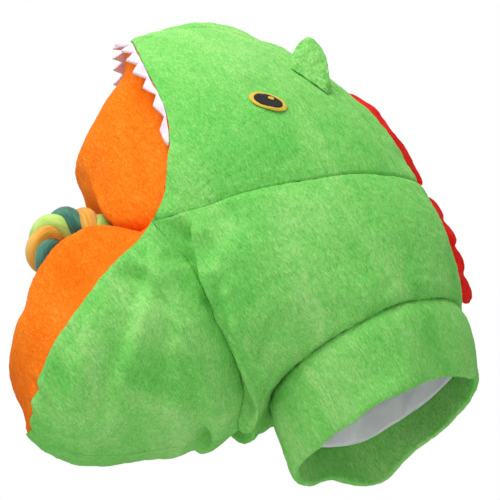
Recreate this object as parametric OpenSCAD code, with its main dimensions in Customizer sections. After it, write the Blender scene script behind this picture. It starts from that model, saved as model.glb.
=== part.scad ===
// Hand puppet with a moving mouth: a plush dinosaur head on a short sleeve, with a rope tongue.
// Millimetres. The origin is the centre of the sleeve opening, +Z runs up the forearm,
// and the puppet looks along -Y. +X is the puppet's left.

/* [Sleeve] */
// Width of the sleeve opening, left to right
sleeve_w = 102; // [92:1:122]
// Depth of the sleeve opening, front to back
sleeve_d = 122; // [106:1:132]
// Height of the cuff, from the rim to the seam above it
cuff_h = 47; // [40:1:56]
// Height of the turned-in green facing inside the cuff
facing_h = 32; // [20:1:36]
// How much lower the rim hangs at the sides than at the front and back
rim_droop = 7; // [0:1:12]

/* [Neck] */
// Width of the neck at the cuff seam
neck_w = 116; // [104:1:126]
// Depth of the neck at the cuff seam
neck_d = 128; // [114:1:138]
// How far the neck leans back at the cuff seam
neck_lean = 9; // [2:1:16]
// How far the neck swells between its seams
neck_puff = 5; // [0:0.5:9]

/* [Mouth] */
// Height of the mouth crease above the sleeve opening
hinge_z = 157; // [146:1:176]
// How far the mouth crease lies in front of the sleeve's centre
hinge_forward = 73; // [64:1:80]
// Width of the mouth, corner to corner
mouth_w = 120; // [106:1:144]
// Thickness of the padded fold along the crease
crease_d = 8; // [6:0.5:9]
// How far the stuffed upper palate swells out of the mouth
upper_puff = 43; // [34:1:46]
// How far the stuffed lower palate swells out of the mouth
lower_puff = 45; // [36:1:48]

/* [Head] */
// Length of the upper jaw, from the crease to the tip of the snout
head_l = 140; // [125:1:168]
// How far each cheek swells
cheek_puff = 12; // [4:1:16]
// Width of the gusset over the crown
gusset_w = 55; // [36:1:60]

/* [Lower jaw] */
// Length of the lower jaw, from the crease to its tip
jaw_l = 127; // [112:1:150]
// How far the sides of the chin swell
chin_puff = 8; // [2:1:12]

/* [Cloth] */
// Thickness of the plush with its pile
plush_t = 2.5; // [1.8:0.1:3]
// Thickness of the lining with its seams
lining_t = 1.2; // [0.8:0.1:1.6]
// Clearance between pieces that are sewn together
seam_gap = 0.3; // [0.2:0.05:0.5]

/* [Pockets] */
// Width of the pocket for four fingers
finger_w = 80; // [70:1:84]
// Length of the finger pocket, from the crease
finger_l = 106; // [92:1:108]
// Width of the pocket for the thumb
thumb_w = 48; // [36:1:56]
// Length of the thumb pocket, from the crease
thumb_l = 84; // [66:1:92]
// Depth of both pockets
pocket_d = 20; // [16:1:22]

/* [Trim] */
// Length of the longest teeth
tooth_h = 9; // [5:0.5:11]
// Number of teeth on each side of the snout
tooth_count = 9; // [5:1:10]
// Thickness of the felt
felt_t = 1.4; // [1:0.1:2]
// Length of an eye
eye_l = 21; // [16:1:26]
// Height of an eye
eye_h = 13; // [10:1:16]
// Width of an ear
ear_w = 28; // [22:1:34]
// Height of an ear
ear_h = 25; // [18:1:32]
// Thickness of an ear
ear_t = 8; // [5:0.5:10]
// Height of the crest's lobes
crest_h = 13; // [9:1:18]
// Thickness of the doubled fleece of the crest
crest_t = 3; // [2:0.5:4]
// Thickness of the rope, over its three strands
rope_d = 21; // [16:0.5:22]

/* [Hidden] */

// Colours
plush_green = "#7EDB62";
plush_orange = "#FF8A20";
felt_white = "#EFD9E6";
satin_white = "#D8D5E0";
fleece_red = "#EE1C12";
thread_yellow = "#F2CC3A";
thread_black = "#1E1E20";
wadding_white = "#F4F4F0";
rope_green = "#BDE36B";
rope_teal = "#3F8A72";
rope_amber = "#E9AE35";

// Angles about the crease are measured from straight back (+Y) and grow upward and over to the front.
// A jaw is described by: which way it turns to close, the angle of its tip, the angle of the seam
// behind it, its length, its outline [angle, share of the length], the bow of its lip [angle, power],
// its cheeks' swell, and the swell of its palate [height, power of the place, power of the height].
crown_outline = [[-32, 1.27], [-11.5, 1.185], [10, 1.16], [25, 1.135], [38, 1.14], [48, 1.12], [57, 1.065], [65, 1]];
chin_outline = [[-153, 1], [-144, 1.03], [-135, 1], [-121, 0.93], [-106, 0.91], [-92, 0.9]];
upper = [1, 65, -11.5, head_l, crown_outline, [17, 6], cheek_puff, [upper_puff, 0.545, 1.2]];
lower = [-1, -153, -92, jaw_l, chin_outline, [-10, 1.5], chin_puff, [lower_puff, 0.736, 0.46]];

hinge_y = -hinge_forward;
boxy = 2.3;            // how square the head's cross-section is: 2 is an ellipse
last_side = 87;        // the skins stop this near the mouth corner, in degrees around the section
corner_turn = 112;     // where the mouth corner lies around the neck, in degrees from the back
corner_half = 3;       // half the turn that the corner takes up
gusset_turn = asin(pow(gusset_w / mouth_w, boxy / 2));   // where its seams lie around the section

// Helpers
function mix(a, b, share) = a + (b - a) * share;
function degrees_of(length, radius) = length / radius * 180 / PI;
function between(a, b, count) = [for (i = [0:count]) mix(a, b, i / count)];
function last(list) = list[len(list) - 1];

// A smooth curve through stations [position, value], straight beyond both ends
function rise(t, i) =
    let (a = max(i - 1, 0), b = min(i + 1, len(t) - 1)) (t[b][1] - t[a][1]) / (t[b][0] - t[a][0]);
function station(t, x) = max([0, for (i = [0:len(t) - 2]) if (x >= t[i][0]) i]);
function smooth(t, x) =
    x <= t[0][0] ? t[0][1] + (x - t[0][0]) * rise(t, 0)
    : x >= last(t)[0] ? last(t)[1] + (x - last(t)[0]) * rise(t, len(t) - 1)
    : let (i = station(t, x), w = t[i + 1][0] - t[i][0], s = (x - t[i][0]) / w)
        t[i][1] * (1 + 2 * s) * pow(1 - s, 2) + t[i + 1][1] * s * s * (3 - 2 * s)
        + rise(t, i) * w * s * pow(1 - s, 2) - rise(t, i + 1) * w * s * s * (1 - s);

// Closed solids from grids and rings of points. A solid whose faces point inward is turned over.
function volume_of(points, faces) =
    [for (f = faces) points[f[0]] * cross(points[f[1]], points[f[2]])] * [for (f = faces) 1];
function turned(faces) = [for (f = faces) [f[2], f[1], f[0]]];
function halved(quads) = [for (q = quads) each [[q[0], q[1], q[2]], [q[0], q[2], q[3]]]];

module solid(points, faces) {
    polyhedron(points, volume_of(points, faces) > 0 ? turned(faces) : faces);
}

// A sheet with thickness: two grids of the same size, one for each face
module slab(front, back) {
    rows = len(front);
    cols = len(front[0]);
    under = rows * cols;
    edge = [
        for (j = [0:cols - 2]) j,
        for (i = [0:rows - 2]) i * cols + cols - 1,
        for (j = [cols - 1:-1:1]) (rows - 1) * cols + j,
        for (i = [rows - 1:-1:1]) i * cols
    ];
    tops = [
        for (i = [0:rows - 2], j = [0:cols - 2])
            let (a = i * cols + j) [a, a + 1, a + cols + 1, a + cols]
    ];
    bottoms = [for (q = tops) [q[2] + under, q[1] + under, q[0] + under, q[3] + under]];
    walls = [
        for (k = [0:len(edge) - 1])
            let (a = edge[k], b = edge[(k + 1) % len(edge)]) [b, a, a + under, b + under]
    ];
    points = [for (row = front) each row, for (row = back) each row];
    solid(points, halved(concat(tops, bottoms, walls)));
}

// Rings joined one after another: capped at both ends, or closed into a loop of rings
module loft(rings, closed = false) {
    count = len(rings);
    size = len(rings[0]);
    steps = closed ? count : count - 1;
    sides = [
        for (i = [0:steps - 1], j = [0:size - 1])
            let (a = i * size, b = (i + 1) % count * size, k = (j + 1) % size) [a + j, a + k, b + k, b + j]
    ];
    top = (count - 1) * size;
    caps = closed ? [] : [for (j = [1:size - 2]) each [[0, j + 1, j], [top, top + j, top + j + 1]]];
    solid([for (ring = rings) each ring], concat(halved(sides), caps));
}

// The skin of a jaw: a is the angle about the crease, side the angle around the section (0 at the
// middle, 90 at a mouth corner) and inset how far inside the outer surface the point lies.
function outline_at(jaw, a) = jaw[3] * smooth(jaw[4], a);
function reach_at(side) = pow(cos(side), 2 / boxy);
function breadth_at(side) = sign(side) * pow(abs(sin(side)), 2 / boxy);
function around(x, a, r) = [x, hinge_y + r * cos(a), hinge_z + r * sin(a)];
function swell(jaw, a) =
    let (share = (a - jaw[1]) / (jaw[2] - jaw[1])) jaw[6] * sin(180 * max(0, min(1, 0.08 + 0.55 * share)));
function lip_angle(jaw, side) = jaw[1] - jaw[0] * jaw[5][0] * pow(abs(sin(side)), jaw[5][1]);
function skin(jaw, a, side, inset = 0) =
    let (t = reach_at(side))
    around(
        (mouth_w / 2 - inset) * breadth_at(side) + sign(side) * swell(jaw, a) * sin(180 * t),
        a,
        (outline_at(jaw, a) - inset) * t
    );
function row_angle(jaw, share, side) =
    let (near = jaw[2] + jaw[0] * degrees_of(seam_w, outline_at(jaw, jaw[2]) * reach_at(side)))
    mix(near, lip_angle(jaw, side), share);
function skin_row(jaw, share, sides, inset) =
    [for (side = sides) skin(jaw, row_angle(jaw, share, side), side, inset)];
skin_shares = concat(between(0, 0.9, 8), [0.95, 1]);
seam_w = seam_gap * 2;
module jaw_skin(jaw, sides) {
    slab(
        [for (s = skin_shares) skin_row(jaw, s, sides, 0)],
        [for (s = skin_shares) skin_row(jaw, s, sides, plush_t)]
    );
}
crown_sides = between(-gusset_turn, gusset_turn, 6);
cheek_sides = between(gusset_turn, last_side, 9);
chin_sides = between(0, last_side, 10);
function mirrored(list) = [for (v = list) -v];
function from_end(list) = [for (i = [len(list) - 1:-1:0]) list[i]];

// The neck runs from the ring at the cuff seam up to the seams behind both jaws. Its turn is 0 at the
// back, 90 at the left and 180 at the throat.
function neck_ring(turn, inset) = [
    (neck_w / 2 - inset) * sin(turn),
    neck_lean + (neck_d / 2 - inset) * cos(turn),
    cuff_h + inset * max(0, -cos(turn))
];
function neck_loop(turn, inset) =
    let (top = corner_turn - corner_half, low = 180 - corner_turn - corner_half)
    abs(turn) <= corner_turn
        ? skin(upper, upper[2], sign(turn) * last_side * min(1, abs(turn) / top), inset)
        : skin(lower, lower[2], sign(turn) * last_side * min(1, (180 - abs(turn)) / low), inset);
function neck(turn, share, inset = 0) =
    mix(neck_ring(turn, inset), neck_loop(turn, inset), share)
    + neck_puff * sin(180 * share) * [sin(turn), cos(turn), min(0, cos(turn))];
half_turns = concat(between(0, corner_turn - corner_half, 11), between(corner_turn + corner_half, 180, 7));
full_turns = concat(half_turns, [for (i = [len(half_turns) - 2:-1:1]) -half_turns[i]]);
module neck_skin(side) {
    turns = side * half_turns;
    shares = between(0, 1, 8);
    slab(
        [for (s = shares) [for (t = turns) neck(t, s)]],
        [for (s = shares) [for (t = turns) neck(t, s, plush_t)]]
    );
}

// The cuff: rings between the sleeve opening and the cuff seam
function cuff(turn, z, inset = 0) =
    let (share = z / cuff_h)
    [
        (mix(sleeve_w, neck_w, share) / 2 - inset) * sin(turn),
        neck_lean * share + (mix(sleeve_d, neck_d, share) / 2 - inset) * cos(turn),
        z + rim_droop * (pow(cos(turn), 2) - 0.5) * (1 - share)
    ];
function cuff_ring(spot) = [for (turn = full_turns) cuff(turn, spot[0], spot[1])];

module cuff_band() {
    hem = plush_t * 2 + seam_gap;
    color(plush_green)
        loft([for (spot = [
            [cuff_h - seam_gap, 0], [cuff_h - seam_gap, plush_t], [3, plush_t], [3, hem],
            [0.8, hem - 1], [0, hem / 2], [0.8, 1], [3, 0], [cuff_h / 2, -2]
        ]) cuff_ring(spot)], true);
}

module cuff_facing() {
    outer = plush_t + seam_gap;
    color(plush_green)
        loft([for (spot = [
            [3 + seam_gap, outer], [facing_h, outer], [facing_h, outer + plush_t],
            [3 + seam_gap, outer + plush_t]
        ]) cuff_ring(spot)], true);
}

module sleeve_lining() {
    outer = (plush_t + seam_gap) * 2 + 1;
    inner = outer + lining_t;
    low = facing_h - 10;
    high = facing_h + 4;
    shares = between(0.08, 0.9, 6);
    function upper_ring(share, inset) =
        [for (turn = full_turns) neck(turn, share, inset - plush_t * share)];
    color(satin_white)
        loft(concat(
            [cuff_ring([low, outer]), cuff_ring([high, outer])],
            [for (s = shares) upper_ring(s, outer)],
            [for (s = from_end(shares)) upper_ring(s, inner)],
            [cuff_ring([high, inner]), cuff_ring([low, inner])]
        ), true);
}

// The fold where the two palates meet. Its axis is the axis of both jaws.
module mouth_crease() {
    color(plush_orange)
        translate([0, hinge_y, hinge_z])
            rotate([0, 90, 0])
                cylinder(d = crease_d, h = mouth_w - 12, center = true, $fn = 32);
}

// Palates: share runs from the crease (0) to the lip (1)
palate_start = crease_d / 2 + seam_gap * 3;
valley_w = 13;         // half the width of the valley's floor, in which the rope lies
function lower_of(a, b) = (a + b - norm([a - b, 5])) / 2;
function puff(jaw, share, side) =
    let (
        full = jaw[7][0] * pow(sin(180 * pow(share, jaw[7][1])), jaw[7][2]) * pow(cos(side), 0.35),
        x = abs(breadth_at(side)) * mouth_w / 2,
        valley = max(0, 120 * share - 9) + 1.3 * max(0, x - valley_w)
    )
    lower_of(full, valley);
function palate(jaw, share, side, lift) =
    let (
        a = lip_angle(jaw, side),
        inset = plush_t + seam_gap,
        far = (outline_at(jaw, a) - inset) * reach_at(side),
        r = mix(palate_start, far, share),
        x = (mouth_w / 2 - inset) * breadth_at(side)
    )
    around(x, a, r) + jaw[0] * lift * [0, -sin(a), cos(a)];
palate_sides = between(-80, 80, 16);
palate_shares = [0, 0.08, 0.18, 0.3, 0.44, 0.58, 0.72, 0.84, 0.93, 0.98, 1];

module palate_cover(jaw) {
    color(plush_orange)
        slab(
            [for (k = palate_shares) [for (s = palate_sides) palate(jaw, k, s, puff(jaw, k, s))]],
            [for (k = palate_shares) [for (s = palate_sides) palate(jaw, k, s, puff(jaw, k, s) - plush_t)]]
        );
}
module palate_filling(jaw) {
    sides = [for (i = [1:len(palate_sides) - 2]) palate_sides[i]];
    shares = [for (i = [1:len(palate_shares) - 3]) palate_shares[i]];
    depth = plush_t + seam_gap;
    color(wadding_white)
        slab(
            [for (k = shares) [for (s = sides) palate(jaw, k, s, puff(jaw, k, s) - depth)]],
            [for (k = shares) [for (s = sides) palate(jaw, k, s, min(-2, puff(jaw, k, s) - depth - 1))]]
        );
}

// Fillings between a jaw's skin and the pocket in it
pocket_lift = 15;      // distance of a pocket from the line between crease and lip
pocket_room = 9;       // how far a filling stays from the pocket's outline
function pocket_clear(jaw, a, length) =
    min(length + 6, (pocket_lift + pocket_d + pocket_room) / max(0.2, sin(jaw[0] * (jaw[1] - a))));
module jaw_filling(jaw, half_sides, length, width) {
    inner_sides = [for (side = half_sides) if (side < 74) side];
    sides = jaw[0] > 0
        ? concat(from_end(mirrored(inner_sides)), [for (i = [1:5]) crown_sides[i]], inner_sides)
        : concat(from_end(mirrored(inner_sides)), [for (i = [1:len(inner_sides) - 1]) inner_sides[i]]);
    shares = [for (s = skin_shares) if (s < 0.93) s];
    narrowing = pow((width / 2 + pocket_room) / (mouth_w / 2), boxy / 2);
    function inner(share, side) =
        let (a = row_angle(jaw, share, asin(narrowing * sin(side))))
        around((width / 2 + pocket_room) * breadth_at(side), a, pocket_clear(jaw, a, length) * reach_at(side));
    color(wadding_white)
        slab(
            [for (k = shares) skin_row(jaw, k, sides, plush_t + seam_gap)],
            [for (k = shares) [for (s = sides) inner(k, s)]]
        );
}

// A pocket is a flat bag with its mouth towards the crease
module pocket(jaw, length, width) {
    stations = [[16, 1.0], [length * 0.3, 1.0], [length * 0.6, 0.93], [length * 0.82, 0.74], [length - 4, 0.5]];
    function ring(r, share, inset) = [
        for (turn = [0:20:340])
            let (
                x = (width / 2 * share - inset) * breadth_at(turn > 180 ? turn - 360 : turn) ,
                n = pocket_lift + pocket_d / 2 + (pocket_d / 2 - inset) * cos(turn)
            )
            around(x, jaw[1], r) - jaw[0] * n * [0, -sin(jaw[1]), cos(jaw[1])]
    ];
    color(satin_white)
        loft(concat(
            [ring(length, 0.36, 4)],
            [for (i = [len(stations) - 1:-1:0]) ring(stations[i][0], stations[i][1], 0)],
            [for (s = stations) ring(s[0], s[1], lining_t)],
            [ring(length - lining_t - 0.5, 0.36, 4 + lining_t)]
        ));
}

// Teeth: a felt strip with a zigzag edge along the upper lip
teeth_end = 74;        // the angle round the lip at which the last tooth ends
last_tooth = 0.6;      // height of the last tooth as a share of the first
module teeth(side) {
    count = tooth_count * 2;
    function tooth(i, height, inset) =
        let (
            s = side * mix(0.4, teeth_end, i / count),
            a = lip_angle(upper, s),
            r = (outline_at(upper, a) - inset - height * 0.35) * reach_at(s),
            x = (mouth_w / 2 - inset - height * 0.35) * breadth_at(s)
        )
        around(x, a, r) + height * [0, -sin(a), cos(a)];
    heights = [for (i = [0:count]) tooth_h * mix(1, last_tooth, i / count) * (i % 2 == 1 ? 1 : 0.25)];
    function row(share, inset) = [for (i = [0:count]) tooth(i, mix(seam_gap, heights[i], share), inset)];
    color(felt_white)
        slab(
            [row(0, seam_gap), row(0.5, seam_gap), row(1, seam_gap)],
            [row(0, seam_gap + felt_t), row(0.5, seam_gap + felt_t), row(1, seam_gap + felt_t)]
        );
}

// Eyes: patches of thread that follow the head side
eye_angle = 21;
eye_side = 53;
eye_tilt = 20;
eye_radius = 102;      // distance of the eye from the crease
side_radius = 132;     // length on the skin per radian around the section, at the eye
function eye_point(side, along, across, lift) =
    let (
        p = along * cos(eye_tilt) - across * sin(eye_tilt),
        q = along * sin(eye_tilt) + across * cos(eye_tilt)
    )
    skin(upper, eye_angle + degrees_of(p, eye_radius), side * (eye_side + degrees_of(q, side_radius)), -lift);
function eye_oval(side, share, lift, middle = [0, 0]) = [
    for (turn = [0:20:340])
        eye_point(side, middle[0] + eye_l / 2 * share * cos(turn), middle[1] + eye_h / 2 * share * sin(turn), lift)
];
pupil_share = 0.66;
module eye_ring(side) {
    color(thread_yellow)
        loft([
            eye_oval(side, 1, seam_gap), eye_oval(side, 1, seam_gap + 0.6), eye_oval(side, 0.85, seam_gap + 1.1),
            eye_oval(side, pupil_share + 0.03, seam_gap + 0.8), eye_oval(side, pupil_share + 0.03, seam_gap)
        ], true);
}
module eye_disc(side, share, low, high, middle = [0, 0]) {
    loft([
        for (spot = [[0.3, low], [1, low], [1, high - 0.3], [0.75, high], [0.2, high]])
            eye_oval(side, share * spot[0], spot[1], middle)
    ]);
}
module eye_pupil(side) {
    color(thread_black) eye_disc(side, pupil_share, seam_gap, seam_gap + 1);
}
module eye_glint(side) {
    color(thread_yellow) eye_disc(side, 0.17, seam_gap + 1.1, seam_gap + 1.7, [-1, -2]);
}

// Ears: stuffed petals, a front and a back piece each
ear_angle = 19;
ear_side = 32;
ear_lean = 56;         // the angle in which an ear points
module ear(side, face) {
    out = [side * 0.1, cos(ear_lean), sin(ear_lean)];
    steps = between(14, 166, 10);
    shares = between(0, 1, 5);
    foot_radius = outline_at(upper, ear_angle) * reach_at(ear_side);
    function petal(turn, share, lift) =
        skin(
            upper,
            ear_angle + degrees_of(ear_w / 2 * cos(turn), foot_radius),
            side * (ear_side + degrees_of(lift, side_radius)),
            -seam_gap
        ) + out * ear_h * share * sin(turn);
    function bulge(turn, share) = face * mix(ear_t / 2, 1, pow(share, 2)) * mix(0.5, 1, sin(turn));
    color(plush_green)
        slab(
            [for (k = shares) [for (t = steps) petal(t, k, bulge(t, k))]],
            [for (k = shares) [for (t = steps) petal(t, k, face * seam_gap / 2)]]
        );
}

// Crest: a doubled fleece strip with rounded lobes on the middle line, flopped to the right
crest_flop = 48;
crest_dip = 0.58;      // height between two lobes as a share of a lobe's
crest_front = 30;      // the angle round the crease at which the crest begins
module crest(base_points, outs, lobes) {
    count = len(base_points) - 1;
    function height(i) = crest_h * mix(crest_dip, 1, pow(abs(sin(180 * lobes * i / count)), 0.6));
    function row(share, offset) = [
        for (i = [0:count])
            base_points[i] + outs[i] * (seam_gap + height(i) * share * cos(crest_flop))
            + [offset - height(i) * share * sin(crest_flop), 0, 0]
    ];
    color(fleece_red)
        slab(
            [for (s = [0, 0.5, 1]) row(s, crest_t / 2 - s * 0.8)],
            [for (s = [0, 0.5, 1]) row(s, s * 0.8 - crest_t / 2)]
        );
}
module crest_head() {
    angles = between(upper[2] + 2, crest_front, 24);
    crest(
        [for (a = angles) skin(upper, a, 0)],
        [for (a = angles) [0, cos(a), sin(a)]],
        3
    );
}
module crest_neck() {
    shares = between(0.06, 0.98, 24);
    crest([for (s = shares) neck(0, s)], [for (s = shares) [0, 1, 0]], 4);
}

// Rope: three strands twisted round a route from the crease out and back
rope_route = [
    [12, -82, 166], [11, -87, 177], [8, -91, 190], [3, -99, 201], [0, -110, 204], [0, -119, 199],
    [0, -123, 190], [-3, -119, 179], [-8, -108, 173], [-11, -95, 169], [-12, -83, 164]
];
rope_lead = 34;         // length in which a strand goes once around
rope_rings = 56;
root_l = 14;            // the rope is sewn flat over this length at both ends
root_share = 0.4;       // its thickness there
route_shift = [0, 73 + hinge_y, hinge_z - 157];
function span_point(list, i, s) =
    let (
        n = len(list) - 1,
        a = list[max(i - 1, 0)], b = list[i], c = list[min(i + 1, n)], d = list[min(i + 2, n)]
    )
    0.5 * (2 * b + (c - a) * s + (2 * a - 5 * b + 4 * c - d) * s * s + (3 * b - a - 3 * c + d) * s * s * s);
function route_point(share) =
    let (x = share * (len(rope_route) - 1), i = min(floor(x), len(rope_route) - 2))
    route_shift + span_point(rope_route, i, x - i);
function unit(v) = v / norm(v);
route_points = [for (i = [0:rope_rings]) route_point(i / rope_rings)];
route_ways = [
    for (i = [0:rope_rings])
        unit(route_points[min(i + 1, rope_rings)] - route_points[max(i - 1, 0)])
];
function frames(i = 0, normal = [0, 0.673, 0.74]) =
    let (flat = unit(normal - route_ways[i] * (normal * route_ways[i])))
    i == rope_rings ? [flat] : concat([flat], frames(i + 1, flat));
route_normals = frames();
function lengths(i = 0, sum = 0) =
    i == rope_rings ? [sum]
    : concat([sum], lengths(i + 1, sum + norm(route_points[i + 1] - route_points[i])));
route_lengths = lengths();
rope_l = last(route_lengths);
strand_r = rope_d * 0.26;
strand_out = rope_d / 2 - strand_r;
function root_taper(i) =
    mix(root_share, 1, sin(90 * min(1, min(route_lengths[i], rope_l - route_lengths[i]) / root_l)));

// A strand fills a third of the rope: its section runs from the rope's middle around a round lobe
module strand(phase) {
    function lobe(angle) = strand_out * cos(angle) + sqrt(pow(strand_r, 2) - pow(strand_out * sin(angle), 2));
    section = concat([[seam_gap, 0]], [for (angle = between(-56, 56, 8)) [lobe(angle), angle]]);
    loft([
        for (i = [0:rope_rings])
            let (
                turn = phase + 360 * route_lengths[i] / rope_lead,
                n = route_normals[i],
                b = cross(route_ways[i], n)
            )
            [
                for (spot = section)
                    route_points[i]
                    + root_taper(i) * spot[0] * (n * cos(turn + spot[1]) + b * sin(turn + spot[1]))
            ]
    ]);
}
module rope_stitching() {
    color(thread_black)
        translate([0, hinge_y, hinge_z])
            rotate([138, 0, 0])
                translate([-17, crease_d / 2 + seam_gap, -2.5])
                    cube([34, 2.4, 5]);
}

cuff_band();
cuff_facing();
sleeve_lining();
color(plush_green) neck_skin(1);  // neck_skin_left
color(plush_green) neck_skin(-1);  // neck_skin_right
mouth_crease();
rope_stitching();
crest_neck();
color(plush_green) jaw_skin(upper, cheek_sides);  // head_side_left
color(plush_green) jaw_skin(upper, mirrored(cheek_sides));  // head_side_right
color(plush_green) jaw_skin(upper, crown_sides);  // crown_gusset
palate_cover(upper);  // upper_palate
palate_filling(upper);  // upper_palate_filling
jaw_filling(upper, cheek_sides, finger_l, finger_w);  // head_filling
pocket(upper, finger_l, finger_w);  // finger_pocket
teeth(1);  // teeth_left
teeth(-1);  // teeth_right
eye_ring(1);  // eye_ring_left
eye_ring(-1);  // eye_ring_right
eye_pupil(1);  // eye_pupil_left
eye_pupil(-1);  // eye_pupil_right
eye_glint(1);  // eye_glint_left
eye_glint(-1);  // eye_glint_right
ear(1, 1);  // ear_front_left
ear(-1, 1);  // ear_front_right
ear(1, -1);  // ear_back_left
ear(-1, -1);  // ear_back_right
crest_head();
color(plush_green) jaw_skin(lower, chin_sides);  // jaw_skin_left
color(plush_green) jaw_skin(lower, mirrored(chin_sides));  // jaw_skin_right
palate_cover(lower);  // lower_palate
palate_filling(lower);  // lower_palate_filling
jaw_filling(lower, chin_sides, thumb_l, thumb_w);  // chin_filling
pocket(lower, thumb_l, thumb_w);  // thumb_pocket
color(rope_green) strand(90);  // rope_strand_green
color(rope_teal) strand(210);  // rope_strand_teal
color(rope_amber) strand(330);  // rope_strand_amber
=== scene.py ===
import math

import bpy
from mathutils import Matrix, Vector, kdtree, noise
from mathutils.bvhtree import BVHTree


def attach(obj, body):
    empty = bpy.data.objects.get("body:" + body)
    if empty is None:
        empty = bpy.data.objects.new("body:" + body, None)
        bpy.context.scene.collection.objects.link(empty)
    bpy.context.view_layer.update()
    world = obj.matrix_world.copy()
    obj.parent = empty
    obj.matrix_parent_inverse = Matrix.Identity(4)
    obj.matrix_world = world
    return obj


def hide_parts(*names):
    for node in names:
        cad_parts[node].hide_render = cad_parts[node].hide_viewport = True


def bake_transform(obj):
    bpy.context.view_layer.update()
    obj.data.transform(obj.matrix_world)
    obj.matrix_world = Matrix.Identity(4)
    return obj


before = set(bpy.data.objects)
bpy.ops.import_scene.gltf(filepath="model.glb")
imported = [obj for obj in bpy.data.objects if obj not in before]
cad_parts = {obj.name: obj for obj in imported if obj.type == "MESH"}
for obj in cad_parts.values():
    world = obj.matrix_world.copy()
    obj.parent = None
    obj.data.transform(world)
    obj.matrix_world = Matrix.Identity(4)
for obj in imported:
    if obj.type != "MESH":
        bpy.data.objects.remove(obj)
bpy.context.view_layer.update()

# Hand puppet with a moving mouth. Metres; the hand comes in at the origin along +Z, the face looks along -Y.
crease = Vector((0, -0.073, 0.157))     # middle of the fold between the two palates
neckMiddle = Vector((0, 0.008, 0.120))
mouthCorners = [Vector((side * 0.060, -0.073, 0.157)) for side in (1, -1)]

# ---- camera and light ----
view = {
    "toCamera": (0.899, -0.268, -0.346),
    "roll": 32.0,
    "width": 0.289,
    "middle": (-0.0827, 0.1040),
    "distance": 0.9,
}
light = {
    "key": {"place": (0.50, 0.10, 0.95), "size": 0.6, "power": 7.8},
    "fill": {"place": (0.6, -1.0, 0.3), "size": 0.9, "power": 2.2},
    "front": {"place": (0.9, -0.5, -0.5), "size": 0.9, "power": 1.9},
    "rim": {"place": (-0.5, 0.6, 0.8), "size": 0.6, "power": 3.0},
    "sky": 0.5,         # what the walls of the white studio give back
}


def placeCamera():
    back = Vector(view["toCamera"]).normalized()
    flatUp = (Vector((0, 0, 1)) - back * back.z).normalized()
    flatRight = flatUp.cross(back)
    turn = math.radians(view["roll"])
    right = flatRight * math.cos(turn) - flatUp * math.sin(turn)
    up = flatUp * math.cos(turn) + flatRight * math.sin(turn)
    data = bpy.data.cameras.new("camera")
    data.type = "ORTHO"
    data.ortho_scale = view["width"]
    data.clip_end = 10
    camera = bpy.data.objects.new("camera", data)
    bpy.context.collection.objects.link(camera)
    turned = Matrix((right, up, back)).transposed().to_4x4()
    middle = right * view["middle"][0] + up * view["middle"][1]
    camera.matrix_world = Matrix.Translation(middle + back * view["distance"]) @ turned
    bpy.context.scene.camera = camera


def placeLights():
    aim = Vector((0, -0.03, 0.15))
    for name in ("key", "fill", "front", "rim"):
        data = bpy.data.lights.new(name, "AREA")
        data.size = light[name]["size"]
        data.energy = light[name]["power"]
        lamp = bpy.data.objects.new(name, data)
        bpy.context.collection.objects.link(lamp)
        place = Vector(light[name]["place"])
        lamp.location = place
        lamp.rotation_euler = (aim - place).to_track_quat("-Z", "Y").to_euler()
    world = bpy.data.worlds.new("studio")
    world.use_nodes = True
    sky = world.node_tree.nodes["Background"]
    sky.inputs["Color"].default_value = (1, 1, 1, 1)
    path = addNode(world, "ShaderNodeLightPath").outputs["Is Camera Ray"]
    strength = addNode(world, "ShaderNodeMapRange", [("Value", path)], To_Min=light["sky"], To_Max=1.0).outputs[0]
    world.node_tree.links.new(strength, sky.inputs["Strength"])
    bpy.context.scene.world = world
    bpy.context.scene.view_settings.view_transform = "Standard"


def makeFloor():
    bpy.ops.object.select_all(action="DESELECT")
    bpy.ops.mesh.primitive_plane_add(size=5, location=(0, 0, -1.2))
    floor = bpy.context.object
    floor.name = "floor"
    paper, shader = newMaterial("palePaper")
    place = addNode(paper, "ShaderNodeTexCoord").outputs["Object"]
    grain = addNode(paper, "ShaderNodeTexNoise", [("Vector", place)], Scale=900.0, Detail=2.0).outputs[0]
    paint(paper, shader, "Base Color", rampBetween(paper, grain, [(0.3, "#FAF9F7"), (0.7, "#FFFFFF")]))
    shader.inputs["Roughness"].default_value = 0.9
    floor.data.materials.append(paper)


# ---- materials ----
def linear(code):
    values = [int(code[i:i + 2], 16) / 255 for i in (1, 3, 5)]
    return [v / 12.92 if v <= 0.04045 else ((v + 0.055) / 1.055) ** 2.4 for v in values] + [1.0]


def addNode(material, kind, links=(), **settings):
    node = material.node_tree.nodes.new(kind)
    for name, value in settings.items():
        if hasattr(node, name):
            setattr(node, name, value)
        else:
            node.inputs[name.replace("_", " ")].default_value = value
    for socket, source in links:
        material.node_tree.links.new(source, node.inputs[socket])
    return node


def newMaterial(name):
    material = bpy.data.materials.new(name)
    material.use_nodes = True
    shader = material.node_tree.nodes["Principled BSDF"]
    return material, shader


def paint(material, shader, socket, source):
    material.node_tree.links.new(source, shader.inputs[socket])


def rampBetween(material, factor, stops):
    node = addNode(material, "ShaderNodeValToRGB", [("Fac", factor)])
    ramp = node.color_ramp
    while len(ramp.elements) < len(stops):
        ramp.elements.new(0.5)
    for element, (place, code) in zip(ramp.elements, stops):
        element.position = place
        element.color = linear(code)
    return node.outputs["Color"]


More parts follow.
